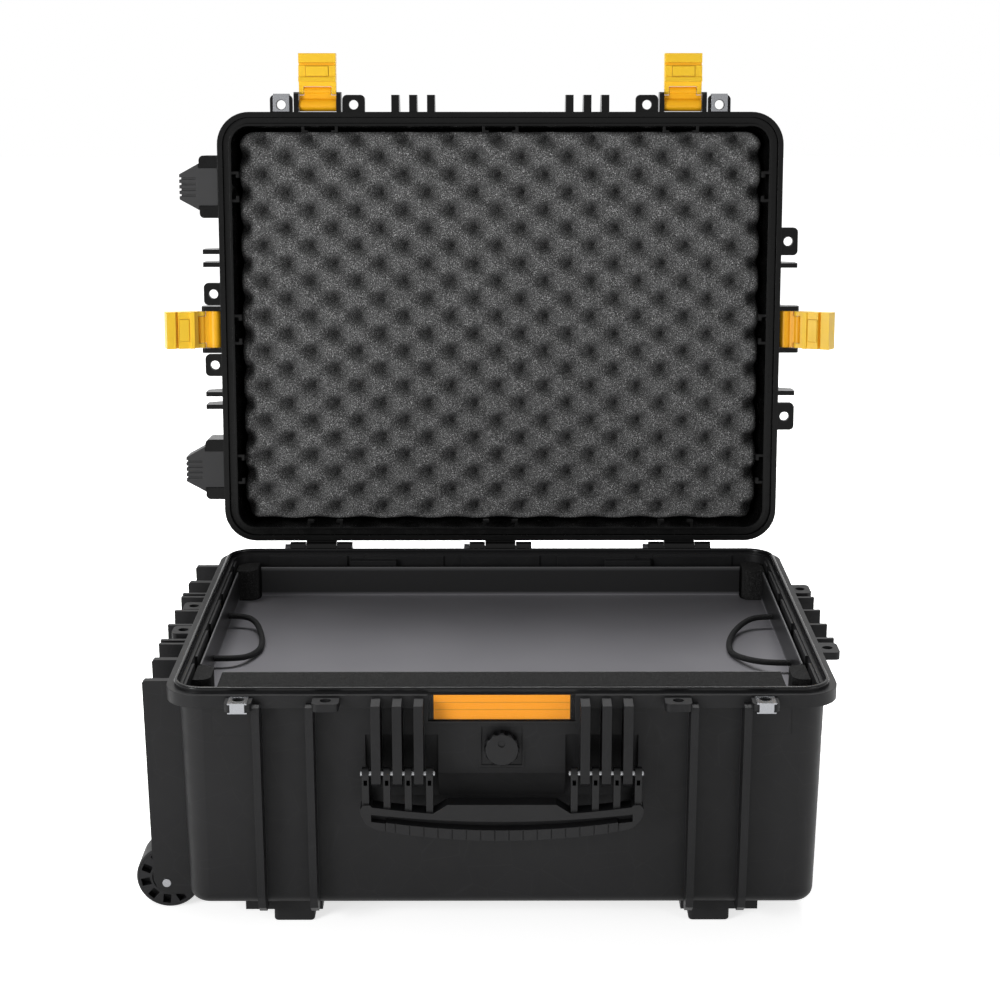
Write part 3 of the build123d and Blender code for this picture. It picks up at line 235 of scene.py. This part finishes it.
def powderedSheetWithPaintedShade(name, code, light, wall, edge, floor, top, rough):
    # Powder-coated sheet: satin, with a very fine orange peel. Above the floor height the walls take a dark tone,
    # painted shade that leaves the floor lighter, and a pale band along the walls' cut top edge is a painted
    # highlight.
    material, tree, shader = newMaterial(name)
    place = objectPlace(tree)
    cloud = addNode(tree, "TexNoise", Vector=place, Scale=perMetre(120), Detail=2.0).outputs["Fac"]
    shade = ramp(tree, cloud, [(0.3, colour(code)), (0.75, colour(light))])
    height = addNode(tree, "SeparateXYZ", Vector=place).outputs["Z"]
    # Painted shade: above the floor height the walls take the dark wall tone, so the floor reads lighter.
    over = ramp(tree, height, [(floor / 1000, 0.0), ((floor + 1.5) / 1000, 1.0)])
    shade = mixColour(tree, over, shade, colour(wall))
    # Painted highlight: the top half millimetre of the walls takes the pale edge tone.
    cut = ramp(tree, height, [((top - 0.5) / 1000, 0.0), ((top - 0.2) / 1000, 1.0)])
    shade = mixColour(tree, cut, shade, colour(edge))
    fine = addNode(tree, "TexNoise", Vector=place, Scale=perMetre(0.9), Detail=2.0).outputs["Fac"]
    bump = addNode(tree, "Bump", Height=fine, Strength=0.35, Distance=0.00006, Normal=softEdge(tree, 0.8))
    feed(tree, shader, Base_Color=shade, Roughness=rough, Normal=bump.outputs["Normal"],
         Specular_IOR_Level=0.5, IOR=1.5)
    return material


# The groove tone is painted shade in the gaps between strands.
braid = {"along": 32.0, "round": 3.0, "depth": 0.8, "groove": "#050505", "strand": "#1d1d1e"}


def braidedRope(name):
    # Woven polyester: crossing strands 5.5 mm long, with painted shade in the gaps. X runs along the rope, Y round
    # it.
    material, tree, shader = newMaterial(name)
    parts = addNode(tree, "SeparateXYZ", Vector=addNode(tree, "TexCoord").outputs["UV"])
    along = join(tree, "MULTIPLY", parts.outputs["X"], 2 * math.pi * braid["along"])
    turned = join(tree, "MULTIPLY", parts.outputs["Y"], 2 * math.pi * braid["round"])
    waves = []
    for operation in ("ADD", "SUBTRACT"):
        wave = addNode(tree, "Math", {"operation": "SINE"})
        tree.links.new(join(tree, operation, along, turned), wave.inputs[0])
        waves.append(wave.outputs[0])
    strand = join(tree, "MULTIPLY", *waves)
    lift = ramp(tree, join(tree, "ABSOLUTE", strand, 0.0), [(0.02, 0.0), (0.4, 1.0)])
    # Painted shade: low between the strands, the colour turns to the near-black groove tone.
    shade = mixColour(tree, lift, colour(braid["groove"]), colour(braid["strand"]))
    bump = addNode(tree, "Bump", Height=lift, Strength=1.0, Distance=braid["depth"] / 1000)
    feed(tree, shader, Base_Color=shade, Roughness=0.75, Normal=bump.outputs["Normal"],
         Specular_IOR_Level=0.15)
    return material


label = {"stock": "#fda326", "shade": "#fb9f22", "rule": "#c07c1c", "rules": (0.40, 0.70), "ruleWidth": 0.5}


def printedCard(name):
    # Orange card stock with two ruled writing lines, by height on the card.
    material, tree, shader = newMaterial(name)
    place = objectPlace(tree)
    height = addNode(tree, "SeparateXYZ", Vector=place).outputs["Z"]
    low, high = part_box("label_card")
    grain = addNode(tree, "TexNoise", Vector=place, Scale=perMetre(7), Detail=3.0).outputs["Fac"]
    shade = mixColour(tree, grain, colour(label["stock"]), colour(label["shade"]))
    for share in label["rules"]:
        near = addNode(tree, "Math", {"operation": "COMPARE"})
        tree.links.new(height, near.inputs[0])
        near.inputs[1].default_value = low.z + share * (high.z - low.z)
        near.inputs[2].default_value = label["ruleWidth"] / 2000
        shade = mixColour(tree, near.outputs[0], shade, colour(label["rule"]))
    feed(tree, shader, Base_Color=shade, Roughness=0.6, Specular_IOR_Level=0.2)
    return material


def clearCover(name):
    # Clear polycarbonate: nearly unseen flat on, a light line at its edges.
    material, tree, shader = newMaterial(name)
    feed(tree, shader, Base_Color=colour("#6a6a6c"), Roughness=0.08, Alpha=0.02, Specular_IOR_Level=0.5,
         IOR=1.58, Normal=softEdge(tree, 0.4))
    return material


finishes = {
    "shell": mouldedPlastic("abs_moulded_fine_texture", "#0f0f10", "#151516", 0.48, 0.17, 0.7, 0.05, 0.7,
                            scuff=0.04, polished=235.4),
    "lid": mouldedPlastic("abs_moulded_lid", "#050505", "#0a0a0a", 0.24, 0.14, 0.7, 0.03, 0.7),
    "handle": mouldedPlastic("nylon_moulded_satin", "#0c0c0d", "#121213", 0.42, 0.2, 0.6, 0.04, 0.6),
    "grip": mouldedPlastic("thermoplastic_elastomer_overmoulded", "#101011", "#161617", 0.5, 0.2, 0.5, 0.05,
                           0.5),
    "link": mouldedPlastic("acetal_moulded_deep_orange", "#fdb416", "#febc1e", 0.36, 0.25, 1.2, 0.02, 0.5),
    "lever": mouldedPlastic("acetal_moulded_yellow_orange", "#fdcb30", "#fdd03a", 0.34, 0.25, 1.2, 0.02, 0.6),
    "hub": mouldedPlastic("nylon_moulded_wheel_hub", "#121213", "#18181a", 0.5, 0.2, 0.8, 0.05, 0.5),
    "tyre": mouldedPlastic("polyurethane_cast_tyre", "#0f0f10", "#161617", 0.55, 0.2, 0.8, 0.06, 0.8),
    "rubber": mouldedPlastic("rubber_moulded_foot", "#101011", "#171718", 0.65, 0.2, 0.7, 0.07, 0.8),
    "bumper": mouldedPlastic("rubber_moulded_lid_bumper", "#1c1c1d", "#262627", 0.45, 0.3, 0.7, 0.05, 0.8),
    "steel": brightSteel("steel_nickel_plated", "#8e8f92", 0.22),
    "pin": brightSteel("steel_blackened_pin", "#3c3c3e", 0.4),
    "rivet": brightSteel("steel_turned_pin", "#98999b", 0.3),
    "tube": brightSteel("aluminium_drawn_tube", "#c4c5c8", 0.3),
    # The third colour of each foam is a painted highlight: its glint specks.
    "lidFoam": openCellFoam("polyurethane_foam_egg_crate", "#343434", "#606060", "#c4c4c4", 0.9),
    "baseFoam": openCellFoam("polyethylene_foam_cut", "#141414", "#242424", "#4c4c4c", 0.5),
    "seal": glossyRubber("epdm_extruded_seal", "#050505", 0.2, 0.16),
    # The tray's dark wall tone is painted shade and its pale edge tone a painted highlight.
    "tray": powderedSheetWithPaintedShade("steel_sheet_powder_coated_painted_shade", "#67666a", "#6f6e72", "#0e0e0f", "#9a9a9c", 196.5,
                          227.0, 0.34),
    "rope": braidedRope("polyester_braided_rope"),
    "card": printedCard("card_printed_orange"),
    "cover": clearCover("polycarbonate_clear_cover"),
}
nodeFinish = {
    "base_shell": "shell", "padlock_lugs": "shell", "lid_shell": "lid",
    "lock_plates_base": "steel", "lock_plates_lid": "steel",
    "hinge_pins": "pin", "handle_pins": "rivet", "label_card": "card", "label_cover": "cover",
    "valve_body": "handle", "valve_knob": "handle", "rubber_feet": "rubber", "wheel_axles": "steel",
    "trolley_guides": "handle", "lid_seal": "seal", "latch_pins": "steel", "stand_feet": "bumper",
    "handle_frame": "handle", "handle_grip": "grip", "trolley_tubes": "tube", "trolley_grip": "handle",
    "trolley_button": "grip", "tray": "tray",
}
for end in ("front", "rear"):
    nodeFinish["wheel_hub_" + end] = "hub"
    nodeFinish["wheel_tyre_" + end] = "tyre"
latchNames = ("front_left", "front_right", "left", "right")
for name in latchNames:
    nodeFinish["latch_link_" + name] = "link"
    nodeFinish["latch_lever_" + name] = "lever"
    nodeFinish["latch_button_" + name] = "lever"
    nodeFinish["lever_pin_" + name] = "steel"


def dressNodes():
    for name, finish in nodeFinish.items():
        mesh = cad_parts[name].data
        mesh.materials.clear()
        mesh.materials.append(finishes[finish])


# Rope loops in the tray: the same points as the solid's route, X from the tray's side wall
ropes = {
    "radius": 3.0,
    "left": [(0, 86, 12), (18, 86, 12), (30, 73.5, 9.5), (36.5, 54, 5), (41, 29, 3.4), (41.5, 5, 3.4),
             (37, -13, 4), (30, -30, 6), (17, -42, 9), (0, -42, 9)],
    "right": [(0, 82, 12), (18, 82, 12), (32.5, 72, 8.5), (44, 54, 4.5), (51.5, 28, 3.4), (54.5, 0, 3.4),
              (51, -18, 4), (43.5, -34, 6), (34, -48, 8), (18, -58, 9.5), (0, -58, 9.5)],
}
trayPlace = {"wall": 284.5, "middle": -47.446, "floor": 195.0}


def makeRope(side, sign):
    points = []
    for x, y, z in ropes[side]:
        points.append(mm(sign * (trayPlace["wall"] - x), y + trayPlace["middle"], z + trayPlace["floor"]))
    curve = bpy.data.curves.new("rope_loop_" + side, "CURVE")
    curve.dimensions = "3D"
    curve.bevel_depth = ropes["radius"] / 1000
    curve.bevel_resolution = 6
    curve.resolution_u = 10
    spline = curve.splines.new("NURBS")
    spline.points.add(len(points) - 1)
    for point, place in zip(spline.points, points):
        point.co = (*place, 1)
    spline.order_u = 3
    spline.use_endpoint_u = True
    curve.materials.append(finishes["rope"])
    rope = bpy.data.objects.new("rope_loop_" + side, curve)
    bpy.context.scene.collection.objects.link(rope)
    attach(rope, "tray")
    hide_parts("rope_" + side)


def addMesh(name, vertices, faces, finish, body, smooth=True):
    mesh = bpy.data.meshes.new(name)
    mesh.from_pydata(vertices, [], faces)
    mesh.update()
    mesh.materials.append(finishes[finish])
    for polygon in mesh.polygons:
        polygon.use_smooth = smooth
    thing = bpy.data.objects.new(name, mesh)
    bpy.context.scene.collection.objects.link(thing)
    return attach(thing, body)


# Egg-crate foam in the lid
eggCrate = {
    "pitch": (51.5, 39.0), "shift": -12.7, "depth": 25.0, "sharp": 2.4, "top": 18.3, "bottom": 55.5,
    "halfWidth": 284.5, "halfHeight": 213.5, "corner": 16.0, "step": 2.8, "edge": 5.0, "taper": 0.985,
}
lidFrame = {"hinge": (196.154, 235.4), "open": 94.87, "rim": 235.8, "middle": -47.446}


def lidPlace(x, across, height):
    # X, the place from front to back on the closed lid, and the height over its rim plane.
    turn = math.radians(lidFrame["open"])
    y = across + lidFrame["middle"] - lidFrame["hinge"][0]
    z = lidFrame["rim"] + height - lidFrame["hinge"][1]
    return mm(x, lidFrame["hinge"][0] + y * math.cos(turn) + z * math.sin(turn),
              lidFrame["hinge"][1] - y * math.sin(turn) + z * math.cos(turn))


def crateHeight(x, across):
    wide, tall = eggCrate["pitch"]
    swing = math.cos(2 * math.pi * x / wide) * math.cos(2 * math.pi * (across - eggCrate["shift"]) / tall)
    hollow = max(0.0, 0.5 + 0.5 * swing) ** eggCrate["sharp"]
    return eggCrate["depth"] * hollow


def edgeDrop(x, across):
    # The pad's edge rolls back into the lid, and its corners are round.
    corner = eggCrate["corner"]
    dx = max(abs(x) - eggCrate["halfWidth"] + corner, 0)
    dy = max(abs(across) - eggCrate["halfHeight"] + corner, 0)
    inside = corner - math.hypot(dx, dy) if dx and dy else corner - max(dx, dy)
    if inside >= eggCrate["edge"]:
        return 0.0
    share = 1 - max(inside, 0) / eggCrate["edge"]
    return eggCrate["edge"] * (1 - math.sqrt(max(0.0, 1 - share * share)))


def makeLidFoam():
    columns = round(2 * eggCrate["halfWidth"] / eggCrate["step"])
    rows = round(2 * eggCrate["halfHeight"] / eggCrate["step"])
    vertices, faces = [], []
    for row in range(rows + 1):
        across = eggCrate["halfHeight"] * (2 * row / rows - 1)
        for column in range(columns + 1):
            x = eggCrate["halfWidth"] * (2 * column / columns - 1)
            px, py = roundCorner(x, across, eggCrate["halfWidth"], eggCrate["halfHeight"], eggCrate["corner"])
            height = eggCrate["top"] + crateHeight(px, py) + edgeDrop(px, py)
            vertices.append(lidPlace(px, py, height))
    stride = columns + 1
    for row in range(rows):
        for column in range(columns):
            k = row * stride + column
            faces.append((k, k + 1, k + stride + 1, k + stride))
    ring = list(range(columns + 1))
    ring += [row * stride + columns for row in range(1, rows + 1)]
    ring += [rows * stride + column for column in range(columns - 1, -1, -1)]
    ring += [row * stride for row in range(rows - 1, 0, -1)]
    start = len(vertices)
    for k in ring:
        row, column = divmod(k, stride)
        x = eggCrate["halfWidth"] * (2 * column / columns - 1)
        across = eggCrate["halfHeight"] * (2 * row / rows - 1)
        px, py = roundCorner(x, across, eggCrate["halfWidth"], eggCrate["halfHeight"], eggCrate["corner"])
        vertices.append(lidPlace(px * eggCrate["taper"], py * eggCrate["taper"], eggCrate["bottom"]))
    count = len(ring)
    for k in range(count):
        nxt = (k + 1) % count
        faces.append((ring[nxt], ring[k], start + k, start + nxt))
    faces.append(tuple(start + k for k in range(count)))
    foam = addMesh("lid_foam_pad", vertices, faces, "lidFoam", "lid")
    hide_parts("lid_foam")


def roundCorner(x, y, halfX, halfY, corner):
    # Draws a point of the square grid's corner in to the rounded outline.
    dx = abs(x) - (halfX - corner)
    dy = abs(y) - (halfY - corner)
    if dx <= 0 or dy <= 0:
        return x, y
    reach = math.hypot(dx, dy)
    share = max(dx, dy) / reach
    return math.copysign(halfX - corner + dx * share, x), math.copysign(halfY - corner + dy * share, y)


foamEdge = {"radius": 1.5, "segments": 3, "sharperThan": 40, "flat": 2, "weld": 0.05}


def makeBaseFoam():
    # A softened copy of the foam block: its cut edges are slightly rounded.
    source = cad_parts["base_foam"]
    mesh = source.data.copy()
    mesh.name = "base_foam_block"
    mesh.materials.clear()
    mesh.materials.append(finishes["baseFoam"])
    foam = bpy.data.objects.new("base_foam_block", mesh)
    bpy.context.scene.collection.objects.link(foam)
    shape = bmesh.new()
    shape.from_mesh(mesh)
    bmesh.ops.remove_doubles(shape, verts=shape.verts, dist=foamEdge["weld"] / 1000)
    bmesh.ops.dissolve_limit(shape, angle_limit=math.radians(foamEdge["flat"]), verts=shape.verts, edges=shape.edges)
    shape.to_mesh(mesh)
    shape.free()
    bevel = foam.modifiers.new("cut edge", "BEVEL")
    bevel.width = foamEdge["radius"] / 1000
    bevel.segments = foamEdge["segments"]
    bevel.limit_method = "ANGLE"
    bevel.angle_limit = math.radians(foamEdge["sharperThan"])
    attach(foam, "base")
    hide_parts("base_foam")


# Stage and lights
stage = {"floor": 14.0, "near": 0.7, "nearReach": 900.0, "farReach": 2200.0, "fill": 0.17}


lamps = {
    "overhead softbox": {"place": (-0.2, 1.0, 2.4), "target": (0, -0.05, 0.2), "size": (2.2, 0.55), "power": 88},
    "left softbox": {"place": (-2.0, -2.2, 0.9), "target": (0, 0, 0.4), "size": (1.0, 1.2), "power": 54},
    "right fill": {"place": (2.2, -1.9, 0.8), "target": (0, 0, 0.4), "size": (1.0, 1.0), "power": 12},
}


def shownDirectly(tree):
    # 1 for what the camera, a reflection or a clear piece shows, 0 for the light that falls on things.
    path = addNode(tree, "LightPath").outputs
    return join(tree, "MAXIMUM", path["Is Camera Ray"], path["Is Glossy Ray"], path["Is Transmission Ray"])


def makeStage():
    bpy.ops.mesh.primitive_plane_add(size=stage["floor"], location=(0, 0, -0.0005))
    floor = bpy.context.object
    floor.name = "floor"
    material, tree, shader = newMaterial("floor_white_paper_sweep")
    place = objectPlace(tree)
    speckle = addNode(tree, "TexNoise", Vector=place, Scale=perMetre(400), Detail=1.0).outputs["Fac"]
    shade = ramp(tree, speckle, [(0.2, 0.93), (0.8, 0.96)])
    reach = addNode(tree, "VectorMath", {"operation": "LENGTH"})
    tree.links.new(place, reach.inputs[0])
    spread = join(tree, "DIVIDE", reach.outputs["Value"], stage["farReach"] / 1000)
    glow = ramp(tree, spread, [(stage["nearReach"] / stage["farReach"], stage["near"]), (1.0, 1.0)])
    feed(tree, shader, Base_Color=shade, Roughness=0.9, Specular_IOR_Level=0.0, Emission_Color=(1, 1, 1, 1),
         Emission_Strength=join(tree, "MULTIPLY", glow, shownDirectly(tree)))
    floor.data.materials.append(material)


def areaLight(name, place, target, size, power):
    data = bpy.data.lights.new(name, "AREA")
    data.shape = "RECTANGLE"
    data.size, data.size_y = size
    data.energy = power
    light = bpy.data.objects.new(name, data)
    bpy.context.scene.collection.objects.link(light)
    light.location = place
    light.rotation_euler = (Vector(target) - Vector(place)).to_track_quat("-Z", "Y").to_euler()


def makeLights():
    world = bpy.data.worlds.new("studio")
    world.use_nodes = True
    tree = world.node_tree
    background = tree.nodes["Background"]
    background.inputs["Color"].default_value = (1, 1, 1, 1)
    level = join(tree, "ADD", join(tree, "MULTIPLY", shownDirectly(tree), 1 - stage["fill"]), stage["fill"])
    tree.links.new(level, background.inputs["Strength"])
    bpy.context.scene.world = world
    for name, lamp in lamps.items():
        areaLight(name, lamp["place"], lamp["target"], lamp["size"], lamp["power"])
    bpy.context.scene.view_settings.view_transform = "Standard"


makeCamera()
for side, sign in (("left", -1), ("right", 1)):
    makeRope(side, sign)
print("camera and ropes made")
dressNodes()
print("nodes dressed")
makeLidFoam()
makeBaseFoam()
print("foam made")
makeStage()
makeLights()
print("stage and lights made")
